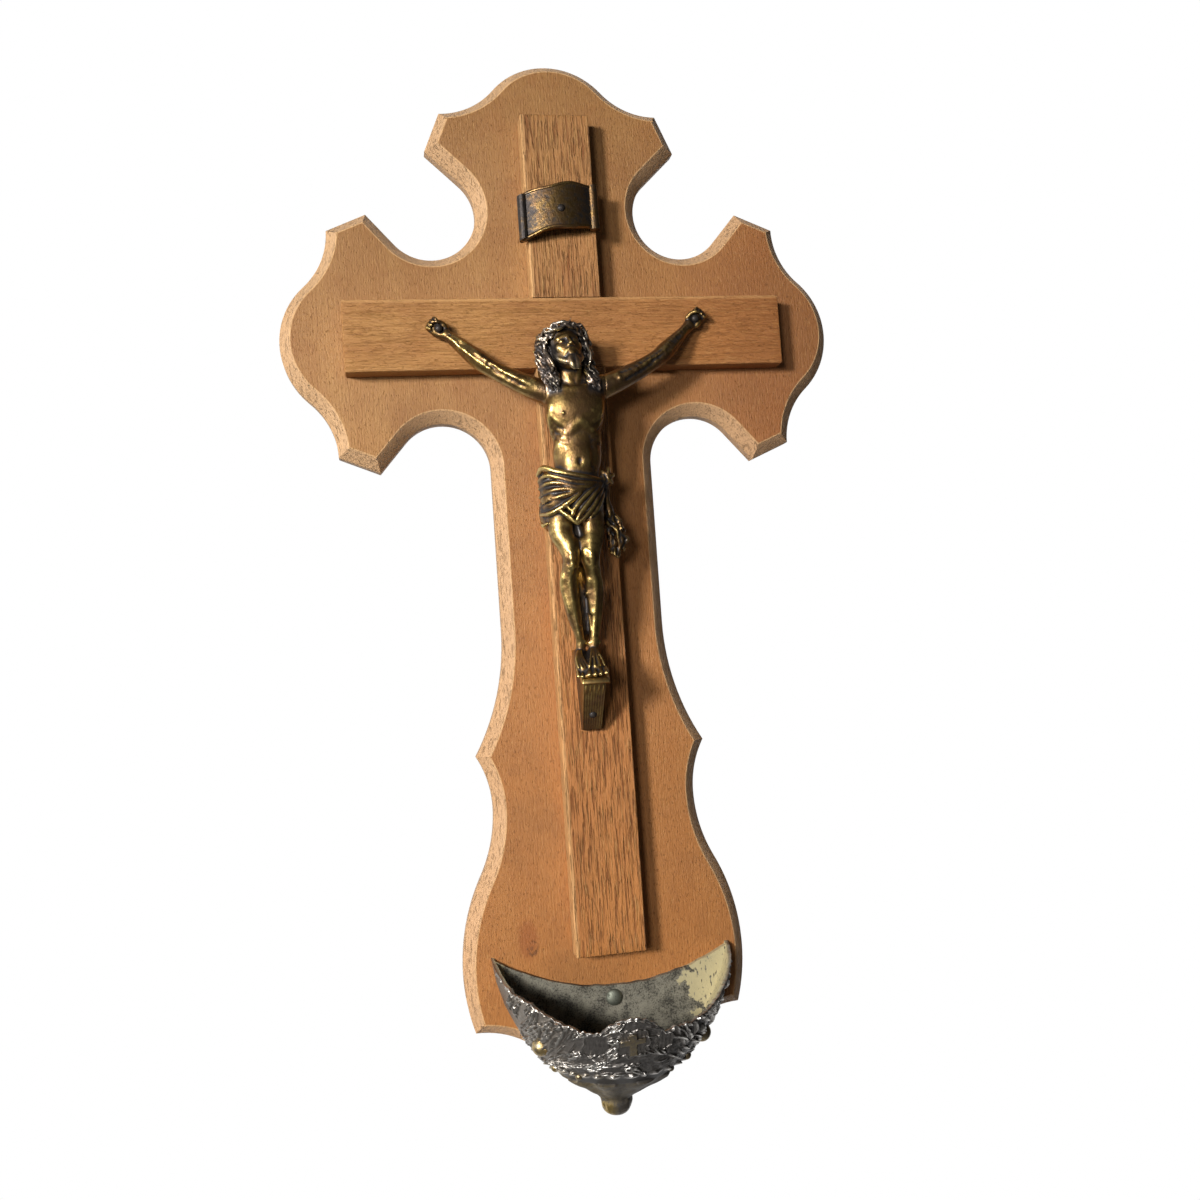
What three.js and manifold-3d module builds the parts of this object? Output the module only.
// Wall crucifix with a holy water bowl: a bevelled beech board, a half-lapped cross on its face,
// a cast brass figure, a bare name scroll, a foot rest and a half-round cast bowl with a pendant.
// Millimetres. +Z is up, the front faces -Y, and the back of the board lies on the wall at Y = 0.
// The origin is on the back face, on the centre line, at the height of the crossbar's middle.
import * as THREE from 'three';
import { mergeVertices } from 'three/addons/utils/BufferGeometryUtils.js';
import Module from 'manifold-3d';

const wasm = await Module();
wasm.setup();

// Board outline and section. The edge is laid out from the shaft: a round notch beside it, the two
// pointed tips that the notch ends in, a straight shoulder behind each tip, and the lobe between them.
const BOARD_THICK = 10;
const BEVEL_WIDTH = 4;
const BEVEL_DEPTH = 5;
const SHAFT_HALF = 29.6;
const NOTCH_R = 17;
const NOTCH_RISE = 47;
const ARM_TIP_GAP = 5.5;
const CROWN_TIP_GAP = 6.6;
const SHOULDER_LONG = 14.2;
const SHOULDER_SHORT = 6;
const LOBE_RISE = 18.2;
const ARM_AXIS_Z = 1;

// Cross strips
const STRIP_THICK = 8;
const UPRIGHT_WIDTH = 25;
const UPRIGHT_LENGTH = 300;
const CROWN_MARGIN = 24.1;
const CROSSBAR_LENGTH = 158.5;
const CROSSBAR_HEIGHT = 25.4;
const LAP_CLEARANCE = 0.1;

// Base of the board: half widths, and heights over the upright's foot
const FLARE_RISE = 115;
const TIP_HALF = 41.7;
const TIP_RISE = 71;
const WAIST_HALF = 36.7;
const WAIST_RISE = 52.6;
const BELLY_HALF = 50.9;
const BELLY_RISE = -4.9;
const BELLY_OGEE_SHARE = 0.42;
const CORNER_HALF = 47.8;
const CORNER_RISE = -24.9;
const BOTTOM_RISE = -45.9;

// Fasteners
const CLEARANCE = 0.3;
const SEAT_GAP = 0.05;
const CROSS_SCREW_R = 1.6;
const CROSS_SCREW_HEAD_R = 3.4;
const CROSS_SCREW_HEAD_DEPTH = 1.8;
const CROSS_SCREW_RECESS = 0.5;
const CROSS_SCREW_BITE = 4.5;
const UPPER_SCREW_Z = 25;
const MIDDLE_SCREW_Z = -70;
const LOWER_SCREW_RISE = 30;
const CROSSBAR_SCREW_X = 30;
const NAIL_R = 0.7;
const NAIL_HEAD_R = 1.4;
const NAIL_HEAD_RISE = 0.9;
const NAIL_BITE = 5.5;

// Hanging ring in a pocket routed into the back
const HINGE_DROP = 26;
const POCKET_DEPTH = 5;
const POCKET_MARGIN = 2;
const POCKET_CORNER_R = 4;
const RING_HALF = 7;
const RING_SIDE = 4;
const RING_CORNER_R = 1.5;
const RING_WIRE_R = 0.8;
const BARREL_WALL = 0.7;
const STRAP_HALF = 3.5;
const STRAP_THICK = 1;
const STRAP_LENGTH = 17.5;
const STRAP_END = 4;
const STRAP_SCREW_SPACING = 7;
const STRAP_SCREW_R = 1;
const STRAP_SCREW_HEAD_R = 1.8;
const STRAP_SCREW_BITE = 3.2;

// Name scroll
const SCROLL_WIDTH = 28;
const SCROLL_HEIGHT = 17;
const SCROLL_THICK = 1.3;
const SCROLL_BOW = 6.5;
const SCROLL_ROLL_R = 1.7;
const SCROLL_X = -0.9;
const SCROLL_Z = 42.8;
const SCROLL_TILT = THREE.MathUtils.degToRad(-5);

// Figure. Places on it are [x, out, z], out being the distance in front of the cross.
const LEFT_HAND = { x: -46.4, out: 2.6, z: 0.7 };
const RIGHT_HAND = { x: 45.7, out: 2.6, z: 2.9 };
const HAND_HALF_DEPTH = 2.2;
const LEFT_SHOULDER_X = -12;
const RIGHT_SHOULDER_X = 9.6;
const HEAD = { x: -4.4, out: 13.4, z: -9.8 };
const HEAD_PITCH = THREE.MathUtils.degToRad(-18);
const HEAD_ROLL = THREE.MathUtils.degToRad(-7);
const HEAD_TURN = THREE.MathUtils.degToRad(9);
const CROWN_R = 7.4;
const CROWN_WIRE_R = 1.1;
const LIMB_SIDES = 10;
const LIMB_STEPS = 2;

// Loincloth
const CLOTH_X = -4.6;
const CLOTH_OUT = 9.8;
const CLOTH_TOP_Z = -51.2;
const CLOTH_DROP = 17.5;
const CLOTH_POINT_DROP = 2.6;
const CLOTH_HALF = 11.4;
const CLOTH_TAPER = 1.6;
const CLOTH_DEPTH = 7.6;
const CLOTH_SWELL = 1.4;
const CLOTH_FOLD = 0.35;

// Foot rest
const REST_X = -2;
const REST_HALF = 4.8;
const REST_BACK_Z = -113.5;
const REST_FALL = 10.5;
const REST_REACH = 18;
const REST_LIP = 2.2;
const CONSOLE_TOP_HALF = 3.8;
const CONSOLE_FOOT_HALF = 3.3;
const CONSOLE_DROP = 28;
const CONSOLE_FOOT_THICK = 3;
const CONSOLE_SETBACK = 2;
const REST_NAIL_RISE = 5.4;

// Bowl. Heights are over its screw, which sits below the upright's foot.
const BOWL_X = 0.8;
const BOWL_SCREW_DROP = 16.1;
const BOWL_LEAN = THREE.MathUtils.degToRad(2.2);
const BOWL_WALL = 2.4;
const BOWL_BACK = 2.4;
const BOWL_HALF = 43;
const BOWL_TIP_RISE = 16.7;
const BOWL_RIM_DROP = 18.5;
const BOWL_CREST = 4.2;
const BOWL_CREST_SPREAD = 0.16;
const BOWL_SCALLOP = 0.5;
const BOWL_BACK_DIP = 11.5;
const BOWL_SCREW_R = 1.6;
const BOWL_SCREW_HEAD_R = 3.1;
const BOWL_SCREW_HEAD_RISE = 1.7;
const BOWL_SCREW_BITE = 6;
const NECK_R = 5.6;
// Side of the bowl, tips to floor: how far inside its half width, and the height
const BOWL_SIDE = [
  [0, BOWL_TIP_RISE],
  [1.8, 8],
  [4.5, 0],
  [7.6, -6],
  [11.2, -12],
  [16.6, -18.8],
  [21.6, -23.3],
];
// Bulb under the floor: share of the way in to the neck, and the drop
const BULB = [
  [0.32, 3.8],
  [0.62, 7.2],
  [0.87, 9.6],
];
// Knob under the neck: share of the neck's radius, and the drop
const KNOB = [
  [1, 11.2],
  [0.97, 13],
  [0.88, 14.8],
  [0.7, 16.3],
  [0.4, 17.2],
  [0, 17.5],
];
const LEAF_COUNT = 7;
const LEAF_RELIEF = 0.8;
const BOSS_R = 3.3;
const BOSS_Z = -10.4;
const BEAD_R = 1.7;
const BEAD_Z = -18.6;
const BOSS_FROM_WALL = 0.5;
const EMBLEM_SPAN = 8;
const EMBLEM_BAR = 2.2;
const EMBLEM_DROP = 5.6;
const EMBLEM_BELOW_CREST = 5.5;

// Places that the pieces share
const FRONT_Y = -BOARD_THICK;
const CROSS_Y = FRONT_Y - STRIP_THICK;
const LAP_Y = FRONT_Y - STRIP_THICK / 2;
const NOTCH_X = SHAFT_HALF + NOTCH_R;
const ARM_TIP_X = NOTCH_X + NOTCH_R + ARM_TIP_GAP;
const LOBE_HALF = NOTCH_RISE - SHOULDER_SHORT;
const ARM_REACH = ARM_TIP_X + SHOULDER_LONG + LOBE_RISE;
const CROWN_TIP_Z = ARM_AXIS_Z + NOTCH_RISE + NOTCH_R + CROWN_TIP_GAP;
const TOP_Z = CROWN_TIP_Z + SHOULDER_LONG + LOBE_RISE;
const UPRIGHT_TOP_Z = TOP_Z - CROWN_MARGIN;
const UPRIGHT_FOOT_Z = UPRIGHT_TOP_Z - UPRIGHT_LENGTH;
const BOWL_SCREW_Z = UPRIGHT_FOOT_Z - BOWL_SCREW_DROP;
const HINGE_Z = TOP_Z - HINGE_DROP;
const STRAP_FOOT_Z = HINGE_Z - STRAP_LENGTH;
const STRAP_SCREW_Z = {
  lower: STRAP_FOOT_Z + STRAP_END,
  upper: STRAP_FOOT_Z + STRAP_END + STRAP_SCREW_SPACING,
};
const CONSOLE_FOOT_Z = REST_BACK_Z - CONSOLE_DROP;
const REST_NAIL_Z = CONSOLE_FOOT_Z + REST_NAIL_RISE;

const vec2 = (x, y) => new THREE.Vector2(x, y);
const vec3 = (x, y, z) => new THREE.Vector3(x, y, z);

// Closed triangle geometry from points and index triples. Collapsed triangles are dropped, and the
// whole is turned round if its volume comes out negative.
function closedGeometry(points, triples) {
  const geometry = new THREE.BufferGeometry();
  geometry.setAttribute('position', new THREE.Float32BufferAttribute(points.flatMap((p) => p.toArray()), 3));
  geometry.setIndex(triples.flat());
  const merged = mergeVertices(geometry, 1e-4);
  const position = merged.getAttribute('position');
  const corner = (i) => vec3().fromBufferAttribute(position, i);
  const kept = [];
  let volume = 0;
  for (let i = 0; i < merged.index.count; i += 3) {
    const [a, b, c] = [0, 1, 2].map((k) => merged.index.getX(i + k));
    if (a === b || b === c || c === a) continue;
    kept.push([a, b, c]);
    volume += corner(a).dot(corner(b).cross(corner(c)));
  }
  merged.setIndex((volume < 0 ? kept.map(([a, b, c]) => [a, c, b]) : kept).flat());
  return merged;
}

function solidOf(geometry) {
  const bare = geometry.clone();
  bare.deleteAttribute('normal');
  bare.deleteAttribute('uv');
  const merged = mergeVertices(bare, 1e-4);
  return new wasm.Manifold(new wasm.Mesh({
    numProp: 3,
    vertProperties: new Float32Array(merged.getAttribute('position').array),
    triVerts: new Uint32Array(merged.index.array),
  }));
}

function geometryOf(solid) {
  const mesh = solid.getMesh();
  const geometry = new THREE.BufferGeometry();
  geometry.setAttribute('position', new THREE.BufferAttribute(mesh.vertProperties, 3));
  geometry.setIndex(new THREE.BufferAttribute(mesh.triVerts, 1));
  geometry.computeVertexNormals();
  return geometry;
}

const joined = (parts) => parts.map(solidOf).reduce((whole, part) => whole.add(part));
const cutBy = (solid, cutters) => cutters
  .map(solidOf)
  .reduce((rest, cutter) => rest.subtract(cutter), solid);

// Triangles that fill an outline, running the same way round as the outline itself.
function fill(outline) {
  const triples = THREE.ShapeUtils.triangulateShape(outline, []);
  const area = ([a, b, c]) => THREE.ShapeUtils.area([outline[a], outline[b], outline[c]]);
  const covered = triples.reduce((sum, triple) => sum + area(triple), 0);
  return covered * THREE.ShapeUtils.area(outline) > 0 ? triples : triples.map(([a, b, c]) => [a, c, b]);
}

// Rings of equal length joined in order, with flat ends filled by triangulating the end rings.
// ends are the same two rings drawn in a plane.
function loft(rings, ends) {
  const count = rings[0].length;
  const triples = [];
  for (let r = 0; r + 1 < rings.length; r++) {
    for (let i = 0; i < count; i++) {
      const a = r * count + i;
      const b = r * count + ((i + 1) % count);
      triples.push([a, b, b + count], [a, b + count, a + count]);
    }
  }
  const last = (rings.length - 1) * count;
  for (const [a, b, c] of fill(ends[0])) triples.push([a, c, b]);
  for (const [a, b, c] of fill(ends[1])) triples.push([last + a, last + b, last + c]);
  return closedGeometry(rings.flat(), triples);
}

// A flat outline in X and Z pushed forward from one Y plane to another.
function plate(outline, backY, frontY) {
  const ring = (y) => outline.map((p) => vec3(p.x, y, p.y));
  return loft([ring(backY), ring(frontY)], [outline, outline]);
}

// An outline in Y and Z pushed sideways from one X plane to another.
function sideways(outline, fromX, toX) {
  const ring = (x) => outline.map((p) => vec3(x, p.x, p.y));
  return loft([ring(fromX), ring(toX)], [outline, outline]);
}

function block(fromX, toX, fromY, toY, fromZ, toZ) {
  const box = new THREE.BoxGeometry(toX - fromX, toY - fromY, toZ - fromZ);
  return box.translate((fromX + toX) / 2, (fromY + toY) / 2, (fromZ + toZ) / 2);
}

// A profile of [radius, y] pairs turned about the Y axis, moved to x and z.
function turned(profile, x, z, sides = 16) {
  const points = profile.map(([r, y]) => vec2(r, y));
  const lathe = new THREE.LatheGeometry(points, sides);
  lathe.deleteAttribute('normal');
  lathe.deleteAttribute('uv');
  const triples = [];
  for (let i = 0; i < lathe.index.count; i += 3) triples.push([0, 1, 2].map((k) => lathe.index.getX(i + k)));
  const position = lathe.getAttribute('position');
  const corners = Array.from({ length: position.count }, (_, i) => vec3().fromBufferAttribute(position, i));
  return closedGeometry(corners, triples).translate(x, 0, z);
}

// Points of an arc that leaves `from` along the given axis ('x' or 'z') and ends at `to`,
// without its first point.
function bow(from, to, axis, steps) {
  const along = axis === 'x' ? to.x - from.x : to.y - from.y;
  const across = axis === 'x' ? to.y - from.y : to.x - from.x;
  const radius = (along * along + across * across) / (2 * Math.abs(across));
  const sweep = Math.atan2(Math.abs(along), radius - Math.abs(across));
  return Array.from({ length: steps }, (_, i) => {
    const turn = (sweep * (i + 1)) / steps;
    const s = Math.sign(along) * radius * Math.sin(turn);
    const o = Math.sign(across) * radius * (1 - Math.cos(turn));
    return axis === 'x' ? vec2(from.x + s, from.y + o) : vec2(from.x + o, from.y + s);
  });
}

// Two arcs that meet at a point `share` of the way, both ends leaving along the axis.
function ogee(from, to, axis, share, steps) {
  const middle = from.clone().lerp(to, share);
  const first = bow(from, middle, axis, steps);
  const second = bow(to, middle, axis, steps).reverse();
  return [...first, ...second.slice(1), to.clone()];
}

// Points of an arc, both ends included.
function arc(centre, radius, fromAngle, toAngle, steps) {
  return Array.from({ length: steps + 1 }, (_, i) => {
    const angle = fromAngle + ((toAngle - fromAngle) * i) / steps;
    return vec2(centre.x + radius * Math.cos(angle), centre.y + radius * Math.sin(angle));
  });
}

// The right half of the board's edge, from the top of the crown down to the foot.
function boardEdge() {
  const crown = vec2(0, TOP_Z);
  const upperTip = vec2(NOTCH_X, CROWN_TIP_Z);
  const crownEnd = vec2(upperTip.x - SHOULDER_SHORT, upperTip.y + SHOULDER_LONG);
  const armUpperTip = vec2(ARM_TIP_X, ARM_AXIS_Z + NOTCH_RISE);
  const armTop = vec2(armUpperTip.x + SHOULDER_LONG, ARM_AXIS_Z + LOBE_HALF);
  const armNose = vec2(ARM_REACH, ARM_AXIS_Z);
  const armFoot = vec2(armTop.x, ARM_AXIS_Z - LOBE_HALF);
  const armLowerTip = vec2(ARM_TIP_X, ARM_AXIS_Z - NOTCH_RISE);
  const upperNotch = vec2(NOTCH_X, ARM_AXIS_Z + NOTCH_RISE);
  const lowerNotch = vec2(NOTCH_X, ARM_AXIS_Z - NOTCH_RISE);
  const crownTouch = Math.acos(NOTCH_R / (NOTCH_R + CROWN_TIP_GAP));
  const armTouch = Math.acos(NOTCH_R / (NOTCH_R + ARM_TIP_GAP));
  const quarter = Math.PI / 2;
  const atFoot = (half, rise) => vec2(half, UPRIGHT_FOOT_Z + rise);
  const flareTop = atFoot(SHAFT_HALF, FLARE_RISE);
  const tip = atFoot(TIP_HALF, TIP_RISE);
  const waist = atFoot(WAIST_HALF, WAIST_RISE);
  const belly = atFoot(BELLY_HALF, BELLY_RISE);
  const corner = atFoot(CORNER_HALF, CORNER_RISE);
  const foot = atFoot(0, BOTTOM_RISE);
  return [
    crown,
    ...ogee(crown, crownEnd, 'x', 0.5, 5),
    upperTip,
    ...arc(upperNotch, NOTCH_R, quarter + crownTouch, 4 * quarter - armTouch, 12),
    armUpperTip,
    armTop,
    ...ogee(armTop, armNose, 'z', 0.5, 5),
    ...ogee(armNose, armFoot, 'z', 0.5, 5),
    armLowerTip,
    ...arc(lowerNotch, NOTCH_R, armTouch, 2 * quarter, 9),
    flareTop,
    ...bow(flareTop, tip, 'z', 5),
    ...bow(waist, tip, 'z', 3).reverse().slice(1),
    waist,
    ...ogee(waist, belly, 'z', BELLY_OGEE_SHARE, 4),
    ...bow(belly, corner, 'z', 3),
    ...ogee(corner, foot, 'x', 0.5, 4),
  ];
}

// The outline moved inwards: each point goes to where its two neighbouring edges meet when both
// are moved by the distance.
function inset(outline, distance) {
  const count = outline.length;
  const inward = (a, b) => vec2(b.y - a.y, a.x - b.x).normalize();
  return outline.map((p, i) => {
    const before = inward(outline[(i + count - 1) % count], p);
    const after = inward(p, outline[(i + 1) % count]);
    const middle = before.clone().add(after).normalize();
    return p.clone().addScaledVector(middle, distance / middle.dot(after));
  });
}

function roundedBox(half, footZ, topZ, corner) {
  const turn = Math.PI / 2;
  return [
    ...arc(vec2(half - corner, topZ - corner), corner, 0, turn, 4),
    ...arc(vec2(corner - half, topZ - corner), corner, turn, 2 * turn, 4),
    ...arc(vec2(corner - half, footZ + corner), corner, 2 * turn, 3 * turn, 4),
    ...arc(vec2(half - corner, footZ + corner), corner, 3 * turn, 4 * turn, 4),
  ];
}

// Turned profiles of the fasteners, as [radius, y]. grow widens one into its own hole.
function crossScrewProfile(grow) {
  const headY = grow > 0 ? grow : -CROSS_SCREW_RECESS;
  const seatY = -CROSS_SCREW_RECESS - CROSS_SCREW_HEAD_DEPTH;
  const tipY = FRONT_Y - CROSS_SCREW_BITE - grow;
  const headR = CROSS_SCREW_HEAD_R + grow;
  const recess = grow > 0 ? [[headR, -CROSS_SCREW_RECESS]] : [];
  const shank = CROSS_SCREW_R + grow;
  return [[0, headY], [headR, headY], ...recess, [shank, seatY], [shank, tipY + CROSS_SCREW_R], [0, tipY]];
}

function strapScrewProfile(grow) {
  const floorY = -POCKET_DEPTH;
  const topY = floorY + STRAP_THICK;
  const tipY = floorY - STRAP_SCREW_BITE - grow;
  const shank = STRAP_SCREW_R + grow;
  const headR = STRAP_SCREW_HEAD_R + grow;
  const head = [[0, topY + grow], [headR, topY + grow], [headR, topY]];
  return [...head, [shank, floorY], [shank, tipY + STRAP_SCREW_R], [0, tipY]];
}

// The profile of a domed head that stands forward of seatY, from its top out to its edge.
function dome(radius, rise, seatY, steps) {
  const quarter = arc(vec2(0, 0), 1, Math.PI / 2, 0, steps).slice(1);
  return [[0, seatY - rise], ...quarter.map((p) => [radius * p.x, seatY - rise * p.y])];
}

// A nail with a domed head whose underside lies at seatY, driven through to tipY.
function nailProfile(seatY, tipY) {
  const head = dome(NAIL_HEAD_R, NAIL_HEAD_RISE, seatY, 3);
  return [...head, [NAIL_R, seatY], [NAIL_R, tipY - NAIL_R], [0, tipY]];
}

function bore(radius, x, z, fromY, toY) {
  return turned([[0, fromY], [radius, fromY], [radius, toY], [0, toY]], x, z);
}

const nailHole = (x, z, fromY, toY) => bore(NAIL_R + CLEARANCE, x, z, fromY, toY);

const uprightHalf = UPRIGHT_WIDTH / 2;
const crossbarHalf = CROSSBAR_LENGTH / 2;
const crossbarRise = CROSSBAR_HEIGHT / 2;
const nailTipY = CROSS_Y + NAIL_BITE;
const nailHoleY = nailTipY + CLEARANCE;
const crossScrews = [
  { name: 'upright_screw_upper', x: 0, z: UPPER_SCREW_Z },
  { name: 'upright_screw_middle', x: 0, z: MIDDLE_SCREW_Z },
  { name: 'upright_screw_lower', x: 0, z: UPRIGHT_FOOT_Z + LOWER_SCREW_RISE },
  { name: 'crossbar_screw_left', x: -CROSSBAR_SCREW_X, z: 0 },
  { name: 'crossbar_screw_right', x: CROSSBAR_SCREW_X, z: 0 },
];
const screwHoles = crossScrews.map(({ x, z }) => turned(crossScrewProfile(CLEARANCE), x, z));

function backboard() {
  const right = boardEdge();
  const left = right.slice(1, -1).map((p) => vec2(-p.x, p.y)).reverse();
  const outline = [...right, ...left];
  const face = inset(outline, BEVEL_WIDTH);
  const ring = (points, y) => points.map((p) => vec3(p.x, y, p.y));
  const rings = [ring(outline, 0), ring(outline, FRONT_Y + BEVEL_DEPTH), ring(face, FRONT_Y)];
  const pocketTop = HINGE_Z + RING_SIDE + RING_HALF + RING_WIRE_R + POCKET_MARGIN;
  const pocketFoot = STRAP_FOOT_Z - POCKET_MARGIN;
  const pocketHalf = RING_HALF + RING_WIRE_R + POCKET_MARGIN;
  const pocket = plate(roundedBox(pocketHalf, pocketFoot, pocketTop, POCKET_CORNER_R), 1, -POCKET_DEPTH);
  const bowlHoleY = FRONT_Y + BOWL_SCREW_BITE + CLEARANCE;
  const bowlHole = bore(BOWL_SCREW_R + CLEARANCE, BOWL_X, BOWL_SCREW_Z, bowlHoleY, FRONT_Y - 1);
  const strapHoles = Object.values(STRAP_SCREW_Z).map((z) => turned(strapScrewProfile(CLEARANCE), 0, z));
  const holes = [...screwHoles, pocket, bowlHole, ...strapHoles];
  return geometryOf(cutBy(solidOf(loft(rings, [outline, face])), holes));
}

// The upright is notched in front and the crossbar behind, half the strip's thickness each.
function crossUpright() {
  const notchRise = crossbarRise + LAP_CLEARANCE;
  const strip = solidOf(block(-uprightHalf, uprightHalf, CROSS_Y, FRONT_Y, UPRIGHT_FOOT_Z, UPRIGHT_TOP_Z));
  const notch = block(-uprightHalf - 1, uprightHalf + 1, CROSS_Y - 1, LAP_Y, -notchRise, notchRise);
  const nailHoles = [
    nailHole(SCROLL_X, SCROLL_Z, CROSS_Y - 1, nailHoleY),
    nailHole(REST_X, REST_NAIL_Z, CROSS_Y - 1, nailHoleY),
  ];
  return geometryOf(cutBy(strip, [notch, ...screwHoles, ...nailHoles]));
}

function crossBar() {
  const notchHalf = uprightHalf + LAP_CLEARANCE;
  const strip = solidOf(block(-crossbarHalf, crossbarHalf, CROSS_Y, FRONT_Y, -crossbarRise, crossbarRise));
  const notch = block(-notchHalf, notchHalf, LAP_Y, FRONT_Y + 1, -crossbarRise - 1, crossbarRise + 1);
  const nailHoles = [LEFT_HAND, RIGHT_HAND].map((hand) => nailHole(hand.x, hand.z, CROSS_Y - 1, nailHoleY));
  return geometryOf(cutBy(strip, [notch, ...screwHoles, ...nailHoles]));
}

// The hanger's hinge line runs along X, inside the pocket.
const barrelR = RING_WIRE_R + CLEARANCE + BARREL_WALL;
const hingeY = -POCKET_DEPTH + barrelR + CLEARANCE;

function hangerStrap() {
  const topY = -POCKET_DEPTH + STRAP_THICK;
  const strap = block(-STRAP_HALF, STRAP_HALF, -POCKET_DEPTH, topY, STRAP_FOOT_Z, HINGE_Z - barrelR / 2);
  const bar = (r, half) => {
    const section = arc(vec2(hingeY, HINGE_Z), r, 0, 2 * Math.PI, 16).slice(0, -1);
    return sideways(section, -half, half);
  };
  const whole = joined([strap, bar(barrelR, STRAP_HALF)]);
  const holes = Object.values(STRAP_SCREW_Z).map((z) => turned(strapScrewProfile(CLEARANCE), 0, z));
  return geometryOf(cutBy(whole, [bar(RING_WIRE_R + CLEARANCE, STRAP_HALF + 1), ...holes]));
}

// A D-shaped wire ring: a straight bar through the strap's barrel, two sides and a half-round top.
function hangerRing() {
  const corner = RING_CORNER_R;
  const turn = Math.PI / 2;
  const centreline = [
    vec2(-STRAP_HALF, 0),
    vec2(STRAP_HALF, 0),
    ...arc(vec2(RING_HALF - corner, corner), corner, -turn, 0, 3),
    ...arc(vec2(0, RING_SIDE), RING_HALF, 0, 2 * turn, 12),
    ...arc(vec2(corner - RING_HALF, corner), corner, 2 * turn, 3 * turn, 3),
  ];
  const count = centreline.length;
  const sides = 8;
  const points = centreline.flatMap((p, i) => {
    const along = centreline[(i + 1) % count].clone().sub(centreline[(i + count - 1) % count]).normalize();
    const out = vec3(along.y, 0, -along.x);
    return Array.from({ length: sides }, (_, k) => {
      const angle = (2 * Math.PI * k) / sides;
      const middle = vec3(p.x, hingeY + RING_WIRE_R * Math.sin(angle), HINGE_Z + p.y);
      return middle.addScaledVector(out, RING_WIRE_R * Math.cos(angle));
    });
  });
  const triples = [];
  for (let i = 0; i < count; i++) {
    for (let k = 0; k < sides; k++) {
      const next = (k + 1) % sides;
      const j = (i + 1) % count;
      triples.push([i * sides + k, i * sides + next, j * sides + next]);
      triples.push([i * sides + k, j * sides + next, j * sides + k]);
    }
  }
  return closedGeometry(points, triples);
}

// The scroll's plan: a sheet bowed forward in the middle with a rolled tube at each end.
// Its middle is nailed to the upright, and both rolls rest on it.
const scrollMiddleY = CROSS_Y - SCROLL_BOW;

function scrollPlate() {
  const half = SCROLL_WIDTH / 2 - SCROLL_ROLL_R;
  const rollY = -SCROLL_ROLL_R;
  const rise = SCROLL_BOW - SCROLL_ROLL_R - SCROLL_THICK / 2;
  const radius = (half * half + rise * rise) / (2 * rise);
  const sweep = Math.asin(half / radius);
  const centre = vec2(0, rollY - rise + radius);
  const outer = arc(centre, radius + SCROLL_THICK / 2, -Math.PI / 2 - sweep, -Math.PI / 2 + sweep, 12);
  const inner = arc(centre, radius - SCROLL_THICK / 2, -Math.PI / 2 + sweep, -Math.PI / 2 - sweep, 12);
  const stand = (outline) => {
    const ring = (z) => outline.map((p) => vec3(p.x, p.y, z));
    return loft([ring(-SCROLL_HEIGHT / 2), ring(SCROLL_HEIGHT / 2)], [outline, outline]);
  };
  const roll = (x) => arc(vec2(x, rollY), SCROLL_ROLL_R, 0, 2 * Math.PI, 12).slice(1);
  const rolls = [-half, half].map((x) => stand(roll(x)));
  const hole = nailHole(0, 0, -SCROLL_BOW - 1, 1);
  return geometryOf(cutBy(joined([stand([...outer, ...inner]), ...rolls]), [hole]));
}

// Stations of a limb are [x, y, z, half width, half depth]. They are rounded off by a smooth curve,
// and each becomes an ellipse square to the limb's run, its width along `side`.
function limb(stations, side, sides = LIMB_SIDES) {
  const spine = new THREE.CatmullRomCurve3(stations.map(([x, y, z]) => vec3(x, y, z)), false, 'centripetal');
  const sizes = new THREE.SplineCurve(stations.map(([, , , width, depth]) => vec2(width, depth)));
  const steps = (stations.length - 1) * LIMB_STEPS;
  const rings = Array.from({ length: steps + 1 }, (_, i) => {
    const middle = spine.getPoint(i / steps);
    const along = spine.getTangent(i / steps);
    const size = sizes.getPoint(i / steps);
    const across = side.clone().addScaledVector(along, -side.dot(along)).normalize();
    const outward = vec3().crossVectors(along, across);
    return arc(vec2(0, 0), 1, 0, 2 * Math.PI, sides).slice(1).map((p) => middle.clone()
      .addScaledVector(across, size.x * p.x)
      .addScaledVector(outward, size.y * p.y));
  });
  const circle = arc(vec2(0, 0), 1, 0, 2 * Math.PI, sides).slice(1);
  return loft(rings, [circle, circle]);
}

const SIDEWAYS = vec3(1, 0, 0);
const UPWARDS = vec3(0, 0, 1);

// The same with stations of [x, out, z, half width, half depth].
function limbOnCross(stations, side, sides) {
  return limb(stations.map(([x, out, z, width, depth]) => [x, CROSS_Y - out, z, width, depth]), side, sides);
}

// The foot rest's top runs down and forward from the cross. A foot's station lies above it: t is the
// way along from the cross to the front edge, and the foot's half height keeps it clear of the slope.
const restBack = vec2(0, REST_BACK_Z);
const restFront = vec2(REST_REACH, REST_BACK_Z - REST_FALL);
const restSlope = restFront.clone().sub(restBack).normalize();
const restUp = vec2(-restSlope.y, restSlope.x);

function footStation(x, t, width, height) {
  const middle = restBack.clone().lerp(restFront, t).addScaledVector(restUp, height + CLEARANCE);
  return [x, middle.x, middle.y, width, height];
}

function foot(heelX, toeX) {
  return limbOnCross([
    footStation(heelX, 0.24, 1.5, 1.4),
    footStation(heelX, 0.42, 2.1, 2.2),
    footStation((heelX + toeX) / 2, 0.64, 2.2, 2),
    footStation(toeX, 0.84, 2.4, 1.4),
    footStation(toeX, 0.98, 1.8, 0.8),
  ], SIDEWAYS);
}

const LEFT_HEEL_X = -4.4;
const RIGHT_HEEL_X = 0.2;

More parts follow.
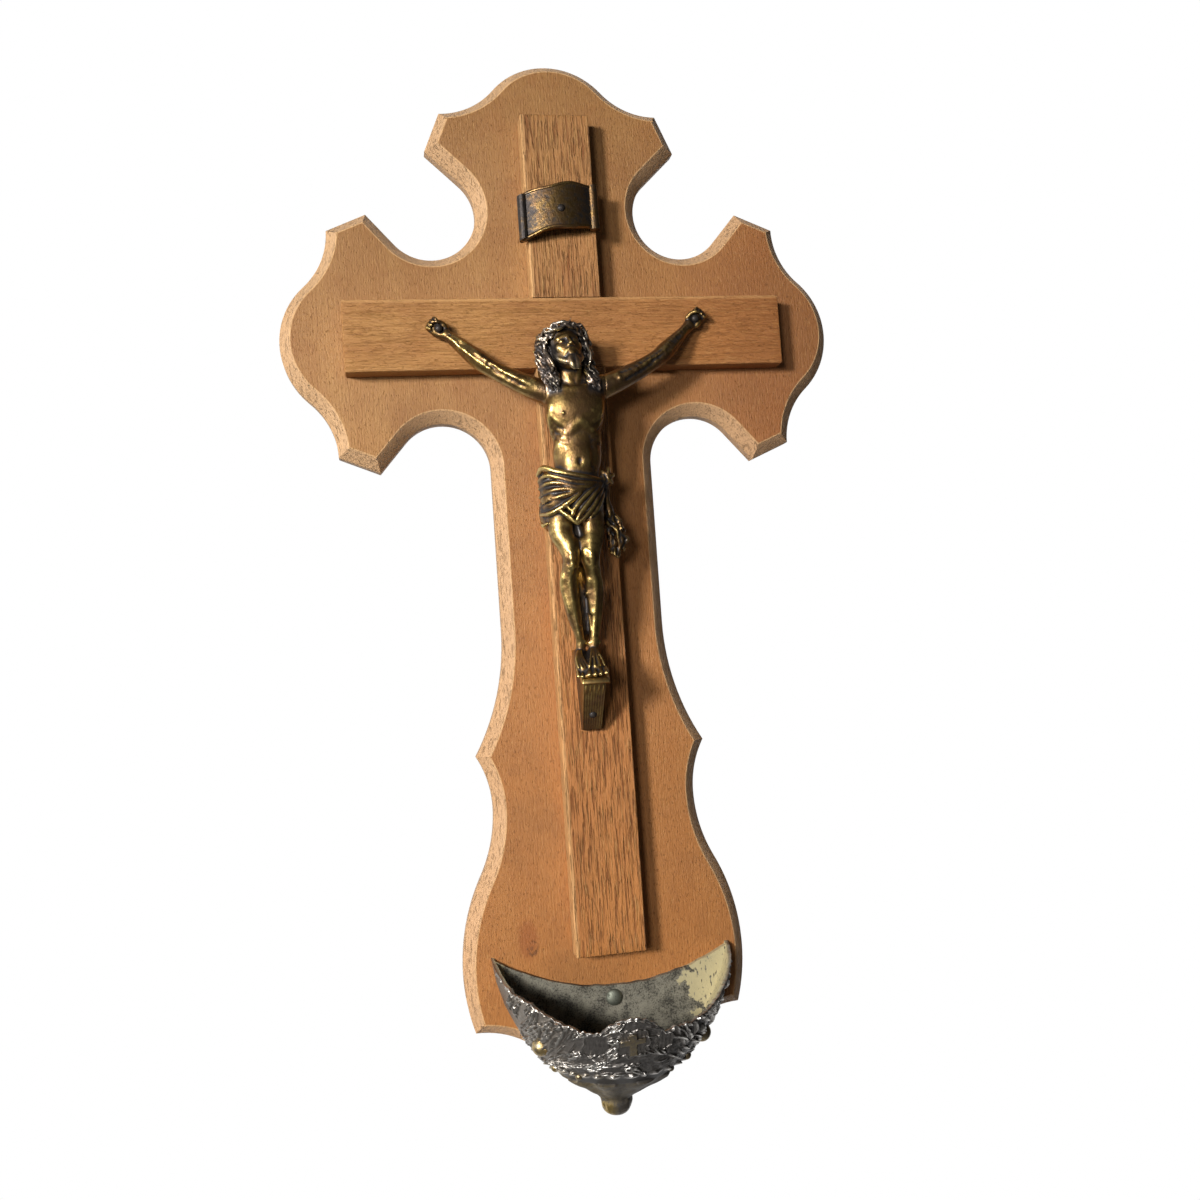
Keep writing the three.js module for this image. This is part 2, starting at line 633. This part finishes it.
const trunk = [
  [-1.6, 10.4, -20.8, 3.6, 3.6],
  [-1.4, 9.6, -23.6, 9.4, 5.2],
  [-1.2, 9.8, -28.5, 10.4, 7.2],
  [-1, 10.4, -35, 9.9, 8.4],
  [-1.2, 10.4, -42, 8.6, 7.7],
  [-1.8, 10.2, -50, 8.2, 6.8],
  [-3.6, 10, -58, 10.6, 7.6],
  [-4.4, 10, -67, 9.4, 7.4],
];

const leftArm = [
  [-8, 9.4, -24.4, 4.6, 4.4],
  [-14, 9, -22.6, 4.2, 4],
  [-21.8, 8.5, -19, 3.7, 3.6],
  [-29.3, 7.5, -14.6, 3, 3.1],
  [-35.8, 5.8, -9, 3, 2.9],
  [-42.4, 3.8, -2.6, 1.9, 1.9],
  [LEFT_HAND.x, LEFT_HAND.out, LEFT_HAND.z, 2.8, HAND_HALF_DEPTH],
  [LEFT_HAND.x - 2.6, LEFT_HAND.out + 0.2, LEFT_HAND.z + 1.2, 2.5, 2.1],
  [LEFT_HAND.x - 4.2, LEFT_HAND.out + 0.6, LEFT_HAND.z + 1.8, 1.3, 1.2],
];

const rightArm = [
  [5.6, 9.4, -23.6, 4.6, 4.4],
  [11.4, 9, -21.4, 4.2, 4],
  [21.4, 8.5, -17, 3.6, 3.6],
  [29.6, 7.5, -12.3, 3, 3.1],
  [35.8, 5.8, -7.3, 2.8, 2.8],
  [41.2, 3.8, -1.6, 1.9, 1.9],
  [RIGHT_HAND.x, RIGHT_HAND.out, RIGHT_HAND.z, 2.8, HAND_HALF_DEPTH],
  [RIGHT_HAND.x + 2.1, RIGHT_HAND.out + 0.2, RIGHT_HAND.z + 2, 2.5, 2.1],
  [RIGHT_HAND.x + 3.2, RIGHT_HAND.out + 0.6, RIGHT_HAND.z + 3.2, 1.3, 1.2],
];

const leftLeg = [
  [-8.6, 10, -62, 5.6, 6.4],
  [-9.4, 12.4, -72, 4.6, 5],
  [-8.3, 14.8, -82.4, 3.3, 3.5],
  [-7.9, 13, -87, 3, 3.3],
  [-7.6, 11.2, -93, 3.1, 3.5],
  [-6.2, 10, -101, 2.4, 2.8],
  [-4.3, 9.6, -109.4, 1.6, 2],
  footStation(LEFT_HEEL_X, 0.42, 1.6, 2),
];

const rightLeg = [
  [0.2, 10, -62, 5.6, 6.4],
  [0.8, 12.4, -72, 4.5, 5],
  [-0.1, 14.8, -84, 3.2, 3.5],
  [0.8, 13, -88.6, 3, 3.3],
  [1.6, 11.2, -94.6, 3.1, 3.5],
  [1.3, 10, -102, 2.5, 2.8],
  [0.8, 9.6, -109.6, 1.9, 2.1],
  footStation(RIGHT_HEEL_X, 0.42, 1.7, 2),
];

const clothTail = [
  [7, 11.4, -54, 2.6, 2.4],
  [8.2, 10, -60, 1.6, 1.8],
  [10.4, 8.4, -69, 2.2, 1.5],
  [12, 7, -77, 2.7, 1.6],
  [11.6, 6.2, -82.8, 1, 1],
];

const leftLock = [
  [HEAD.x - 7.2, HEAD.out - 3, HEAD.z + 4.8, 2, 2.2],
  [HEAD.x - 8.4, HEAD.out - 1.6, HEAD.z - 1.8, 2.3, 2.4],
  [-10.8, 13.4, -19, 2.1, 2.2],
  [-8.4, 14.4, -25.4, 0.9, 1],
];

const rightLock = [
  [HEAD.x + 7.4, HEAD.out - 3, HEAD.z + 4.8, 2, 2.2],
  [HEAD.x + 8.6, HEAD.out - 1.6, HEAD.z - 2.2, 2.1, 2.3],
  [5.9, 13.4, -19.4, 1.9, 2.1],
  [7.2, 14.4, -25, 0.9, 1],
];

const neck = [
  [-1.8, 10.4, -25, 3.8, 3.8],
  [-2.4, 12, -20, 3.5, 3.7],
  [HEAD.x + 0.6, HEAD.out - 0.2, HEAD.z - 3, 3.4, 3.8],
];

// Levels of the head, from chin to crown, and of the hair round it, as
// [height, y, half width, half depth].
const skullLevels = [
  [-9, -4.2, 1.4, 1.6],
  [-6.4, -3.2, 3.6, 3.6],
  [-3, -1.8, 5, 5.6],
  [1.5, -0.6, 5.8, 7],
  [5.5, 0.4, 5.6, 6.8],
  [8.6, 1, 2.6, 3.2],
];

const hairLevels = [
  [-8.5, 3, 5.4, 3.4],
  [-5, 2.6, 7.4, 4.8],
  [0, 1.8, 8, 6.4],
  [5, 1.4, 7.2, 7.2],
  [8.6, 1.2, 4.4, 4.8],
  [9.6, 1.2, 1.6, 1.8],
];

const noseRun = [
  [0, -6.6, 1.6, 0.7, 0.6],
  [0, -7.6, -1, 1, 1.2],
  [0, -7, -2.2, 0.9, 0.5],
];

function levelled(levels) {
  return limb(levels.map(([height, y, width, depth]) => [0, y, height, width, depth]), SIDEWAYS, 12);
}

function headParts() {
  const crown = new THREE.TorusGeometry(CROWN_R, CROWN_WIRE_R, 6, 16).rotateX(0.16).translate(0, 0.8, 4.6);
  const upright = [levelled(skullLevels), levelled(hairLevels), limb(noseRun, SIDEWAYS, 6), crown];
  return upright.map((piece) => piece
    .rotateX(HEAD_PITCH)
    .rotateZ(HEAD_TURN)
    .rotateY(HEAD_ROLL)
    .translate(HEAD.x, CROSS_Y - HEAD.out, HEAD.z));
}

// The loincloth: a band round the hips whose lower edge hangs to a point in front, with slanting
// folds in its front half.
function loincloth() {
  const sides = 20;
  const levels = 7;
  const rings = Array.from({ length: levels + 1 }, (_, i) => {
    const t = i / levels;
    return arc(vec2(0, 0), 1, 0, 2 * Math.PI, sides).slice(1).map((p) => {
      const front = Math.max(0, p.y);
      const fold = CLOTH_FOLD * front * Math.sin(9 * t + 3 * p.x);
      const width = CLOTH_HALF - CLOTH_TAPER * t * t + fold;
      const depth = CLOTH_DEPTH + CLOTH_SWELL * Math.sin(Math.PI * (0.2 + 0.8 * t)) + fold;
      const drop = t * (CLOTH_DROP + CLOTH_POINT_DROP * front * front);
      return vec3(CLOTH_X + width * p.x, CROSS_Y - CLOTH_OUT - depth * p.y, CLOTH_TOP_Z - drop);
    });
  });
  const circle = arc(vec2(0, 0), 1, 0, 2 * Math.PI, sides).slice(1);
  return loft(rings, [circle, circle]);
}

const FAR = 400;
const wholeLeftArm = solidOf(limbOnCross(leftArm, UPWARDS));
const wholeRightArm = solidOf(limbOnCross(rightArm, UPWARDS));
const leftOfShoulder = solidOf(block(-FAR, LEFT_SHOULDER_X, -FAR, FAR, -FAR, FAR));
const rightOfShoulder = solidOf(block(RIGHT_SHOULDER_X, FAR, -FAR, FAR, -FAR, FAR));

// The arms are cast by themselves and meet the body on flat shoulder faces.
function corpusArm(whole, side, hand) {
  const hole = nailHole(hand.x, hand.z, CROSS_Y - 2 * hand.out - HAND_HALF_DEPTH, CROSS_Y + 1);
  return geometryOf(cutBy(whole.intersect(side), [hole]));
}

function corpusBody() {
  const limbs = [limbOnCross(trunk, SIDEWAYS, 14), limbOnCross(neck, SIDEWAYS)];
  const legs = [leftLeg, rightLeg].map((leg) => limbOnCross(leg, SIDEWAYS));
  const strands = [clothTail, leftLock, rightLock].map((strand) => limbOnCross(strand, SIDEWAYS, 8));
  const feet = [foot(LEFT_HEEL_X, LEFT_HEEL_X), foot(RIGHT_HEEL_X, RIGHT_HEEL_X - 0.4)];
  const whole = joined([...limbs, ...legs, ...strands, ...feet, loincloth(), ...headParts()]);
  const stumps = wholeLeftArm.subtract(leftOfShoulder).add(wholeRightArm.subtract(rightOfShoulder));
  return geometryOf(whole.add(stumps));
}

// The rest is a sloping slab on a console that tapers down to the cross. The console's top runs
// through the middle of the slab.
const consoleOut = REST_REACH - CONSOLE_SETBACK;
const consoleTopZ = REST_BACK_Z - (REST_FALL * consoleOut) / REST_REACH - REST_LIP / 2;

function footRest() {
  const top = [restBack, restFront].map((p) => vec2(CROSS_Y - p.x, p.y));
  const slabSide = [...top, ...top.map((p) => vec2(p.x, p.y - REST_LIP)).reverse()];
  const ring = (half, out, backZ, frontZ) => [
    vec3(REST_X - half, CROSS_Y, backZ),
    vec3(REST_X + half, CROSS_Y, backZ),
    vec3(REST_X + half, CROSS_Y - out, frontZ),
    vec3(REST_X - half, CROSS_Y - out, frontZ),
  ];
  const square = [vec2(-1, 1), vec2(1, 1), vec2(1, -1), vec2(-1, -1)];
  const bracket = loft([
    ring(CONSOLE_TOP_HALF, consoleOut, REST_BACK_Z - REST_LIP / 2, consoleTopZ),
    ring(CONSOLE_FOOT_HALF, CONSOLE_FOOT_THICK, CONSOLE_FOOT_Z, CONSOLE_FOOT_Z),
  ], [square, square]);
  const cast = joined([sideways(slabSide, REST_X - REST_HALF, REST_X + REST_HALF), bracket]);
  return geometryOf(cutBy(cast, [nailHole(REST_X, REST_NAIL_Z, CROSS_Y - 2 * REST_REACH, CROSS_Y + 1)]));
}

// Where the console's sloping front lies at a height. The rest nail's head seats on its upper side.
function consoleFrontY(z) {
  const t = (z - CONSOLE_FOOT_Z) / (consoleTopZ - CONSOLE_FOOT_Z);
  return CROSS_Y - THREE.MathUtils.lerp(CONSOLE_FOOT_THICK, consoleOut, t);
}

// The bowl's outer radius by height over its screw, from the tips of the rim down to the floor, and
// the pendant below it.
const bowlProfile = new THREE.SplineCurve(BOWL_SIDE.map(([inside, z]) => vec2(BOWL_HALF - inside, z)));
const bowlFoot = bowlProfile.getPoint(1);
const pendantProfile = [
  ...BULB.map(([share, drop]) => vec2(THREE.MathUtils.lerp(bowlFoot.x, NECK_R, share), bowlFoot.y - drop)),
  ...KNOB.map(([share, drop]) => vec2(NECK_R * share, bowlFoot.y - drop)),
];

function bowlRadius(z) {
  let [above, below] = [0, 1];
  for (let i = 0; i < 30; i++) {
    const middle = (above + below) / 2;
    if (bowlProfile.getPoint(middle).y > z) above = middle;
    else below = middle;
  }
  return bowlProfile.getPoint(above).x;
}

// Height of the rim round the half turn: high at the two tips, low between, with a crest in front.
function rimHeight(turn) {
  const t = Math.abs(Math.cos(turn));
  const crest = BOWL_CREST * Math.exp(-((t / BOWL_CREST_SPREAD) ** 2));
  const scallop = BOWL_SCALLOP * Math.sin(2 * LEAF_COUNT * turn);
  return BOWL_TIP_RISE + (scallop - BOWL_RIM_DROP) * (1 - t ** 4) + crest;
}

// The wall's section swung through a half turn about the wall side: pendant, outside with its leaf
// relief, rim, inside and floor.
function bowlShell() {
  const turns = 32;
  const levels = 7;
  const section = (turn) => {
    const rim = rimHeight(turn);
    const shares = Array.from({ length: levels + 1 }, (_, k) => k / levels);
    const heights = shares.map((share) => THREE.MathUtils.lerp(rim, bowlFoot.y, share));
    const leaf = LEAF_RELIEF * Math.cos(2 * LEAF_COUNT * turn) * Math.sin(turn) ** 2;
    const outside = heights.map((z, k) => vec2(bowlRadius(z) + leaf * Math.sin(Math.PI * shares[k]), z));
    const inside = heights.slice(0, -1).map((z) => vec2(bowlRadius(z) - BOWL_WALL, z));
    const floor = [vec2(bowlFoot.x - BOWL_WALL, bowlFoot.y), vec2(0, bowlFoot.y)];
    return [...pendantProfile.slice().reverse(), ...outside.reverse(), ...inside, ...floor];
  };
  const swing = Array.from({ length: turns + 1 }, (_, i) => (Math.PI * i) / turns);
  const sections = swing.map(section);
  const rings = sections.map((points, i) => {
    const outward = i === 0 || i === turns ? 0 : Math.sin(swing[i]);
    return points.map((p) => vec3(p.x * Math.cos(swing[i]), FRONT_Y - p.x * outward, p.y));
  });
  return loft(rings, [sections[0], sections[turns]]);
}

// The flat back of the bowl, its top edge dipping between the tips of the rim.
function bowlBackPlate() {
  const tip = vec2(BOWL_HALF - BOWL_WALL / 2, BOWL_TIP_RISE - BOWL_WALL / 2);
  const dip = vec2(0, tip.y - BOWL_BACK_DIP);
  const side = [0.2, 0.5, 0.8, 1].map((t) => {
    const z = THREE.MathUtils.lerp(tip.y, bowlFoot.y, t);
    return vec2(bowlRadius(z) - BOWL_WALL / 2, z);
  });
  const right = [...bow(dip, tip, 'x', 6), ...side];
  const left = right.slice().reverse().map((p) => vec2(-p.x, p.y));
  return plate([dip, ...right, ...left], FRONT_Y, FRONT_Y - BOWL_BACK);
}

// A ball on the bowl's flank, turned away from the wall.
function boss(radius, z, side) {
  const out = bowlRadius(z) - radius / 3;
  const ball = new THREE.SphereGeometry(radius, 12, 8);
  return ball.translate(side * out * Math.cos(BOSS_FROM_WALL), FRONT_Y - out * Math.sin(BOSS_FROM_WALL), z);
}

// Round bosses on both flanks, and the raised cross on the front.
function bowlOrnaments() {
  const bosses = [-1, 1].flatMap((side) => [boss(BOSS_R, BOSS_Z, side), boss(BEAD_R, BEAD_Z, side)]);
  const topZ = rimHeight(Math.PI / 2) - EMBLEM_BELOW_CREST;
  const slope = Math.atan2(bowlRadius(topZ) - bowlRadius(topZ - EMBLEM_SPAN), EMBLEM_SPAN);
  const bar = EMBLEM_BAR / 2;
  const arm = EMBLEM_SPAN / 2;
  const raised = (half, fromZ, toZ) => block(-half, half, -bar - LEAF_RELIEF, bar, fromZ, toZ);
  const bars = [raised(bar, -EMBLEM_SPAN, 0), raised(arm, -EMBLEM_DROP + bar, -EMBLEM_DROP + 3 * bar)];
  const emblem = bars.map((piece) => piece.rotateX(slope).translate(0, FRONT_Y - bowlRadius(topZ), topZ));
  return [...bosses, ...emblem];
}

function bowl() {
  const hole = bore(BOWL_SCREW_R + CLEARANCE, 0, 0, FRONT_Y + 1, FRONT_Y - 2 * BOWL_BACK);
  return geometryOf(cutBy(joined([bowlShell(), bowlBackPlate(), ...bowlOrnaments()]), [hole]));
}

function bowlScrewProfile() {
  const seatY = FRONT_Y - BOWL_BACK;
  const tipY = FRONT_Y + BOWL_SCREW_BITE;
  const head = dome(BOWL_SCREW_HEAD_R, BOWL_SCREW_HEAD_RISE, seatY, 4);
  return [...head, [BOWL_SCREW_R, seatY], [BOWL_SCREW_R, tipY - BOWL_SCREW_R], [0, tipY]];
}

const finish = (color, roughness, metalness) => ({ color, roughness, metalness });
const BEECH = finish(0xb9793f, 0.55, 0);
const BEECH_CROSS = finish(0xc08848, 0.6, 0);
const BRASS = finish(0x8a6a2c, 0.35, 1);
const DARK_BRASS = finish(0x5a4a30, 0.5, 1);
const PEWTER = finish(0x5c5a56, 0.5, 1);
const STEEL = finish(0x8d8d8d, 0.4, 1);

const group = new THREE.Group();

function place(name, geometry, material, parent = group) {
  geometry.computeVertexNormals();
  const mesh = new THREE.Mesh(geometry, new THREE.MeshStandardMaterial(material));
  mesh.name = name;
  parent.add(mesh);
  return mesh;
}

place('backboard', backboard(), BEECH);
place('cross_upright', crossUpright(), BEECH_CROSS);
place('cross_bar', crossBar(), BEECH_CROSS);
for (const { name, x, z } of crossScrews) place(name, turned(crossScrewProfile(0), x, z), STEEL);

place('hanger_strap', hangerStrap(), BRASS);
place('hanger_ring', hangerRing(), BRASS);
for (const [key, z] of Object.entries(STRAP_SCREW_Z)) {
  place(`hanger_screw_${key}`, turned(strapScrewProfile(0), 0, z), STEEL);
}

const scroll = new THREE.Group();
scroll.position.set(SCROLL_X, CROSS_Y, SCROLL_Z);
scroll.rotation.y = SCROLL_TILT;
group.add(scroll);
place('scroll_plate', scrollPlate(), DARK_BRASS, scroll);
place('scroll_nail', turned(nailProfile(scrollMiddleY, nailTipY), SCROLL_X, SCROLL_Z), DARK_BRASS);

place('corpus_body', corpusBody(), BRASS);
place('corpus_arm_left', corpusArm(wholeLeftArm, leftOfShoulder, LEFT_HAND), BRASS);
place('corpus_arm_right', corpusArm(wholeRightArm, rightOfShoulder, RIGHT_HAND), BRASS);
for (const [key, hand] of Object.entries({ left: LEFT_HAND, right: RIGHT_HAND })) {
  const seatY = CROSS_Y - hand.out - HAND_HALF_DEPTH - SEAT_GAP;
  place(`hand_nail_${key}`, turned(nailProfile(seatY, nailTipY), hand.x, hand.z), DARK_BRASS);
}
place('foot_rest', footRest(), DARK_BRASS);
const restSeatY = consoleFrontY(REST_NAIL_Z + NAIL_HEAD_R) - SEAT_GAP;
place('foot_rest_nail', turned(nailProfile(restSeatY, nailTipY), REST_X, REST_NAIL_Z), DARK_BRASS);

const bowlGroup = new THREE.Group();
bowlGroup.position.set(BOWL_X, 0, BOWL_SCREW_Z);
bowlGroup.rotation.y = BOWL_LEAN;
group.add(bowlGroup);
place('bowl', bowl(), PEWTER, bowlGroup);
place('bowl_screw', turned(bowlScrewProfile(), BOWL_X, BOWL_SCREW_Z), PEWTER);

export default group;
